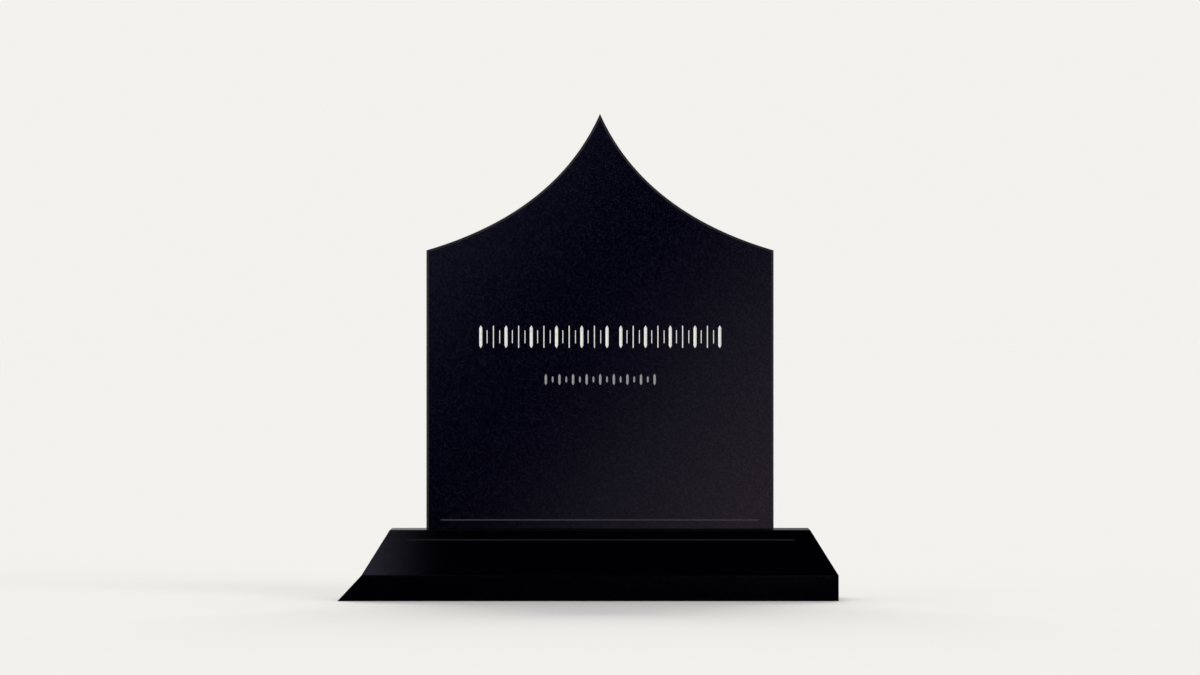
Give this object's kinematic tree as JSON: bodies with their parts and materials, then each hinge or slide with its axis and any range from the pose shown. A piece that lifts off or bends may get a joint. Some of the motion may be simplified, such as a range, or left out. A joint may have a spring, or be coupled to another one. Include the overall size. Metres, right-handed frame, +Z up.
{
  "type": "headstone",
  "caption": "Upright polished black granite headstone with a swept, pointed top, resting on a bevelled base; rows of plain cut strokes stand in for its inscription",
  "frame": {"origin": "on the ground, under the middle of the tablet's width and thickness", "axes": "+Z up, the inscribed face towards -Y, +X to the right of someone facing it, so the base's splayed end is at -X"},
  "size_m": [0.876, 0.305, 0.854],
  "materials": {
    "tablet_granite": "polished",
    "base_granite": "polished"
  },
  "bodies": {
    "root": {"base": "base_granite", "tablet": "tablet_granite"}
  },
  "joints": []
}
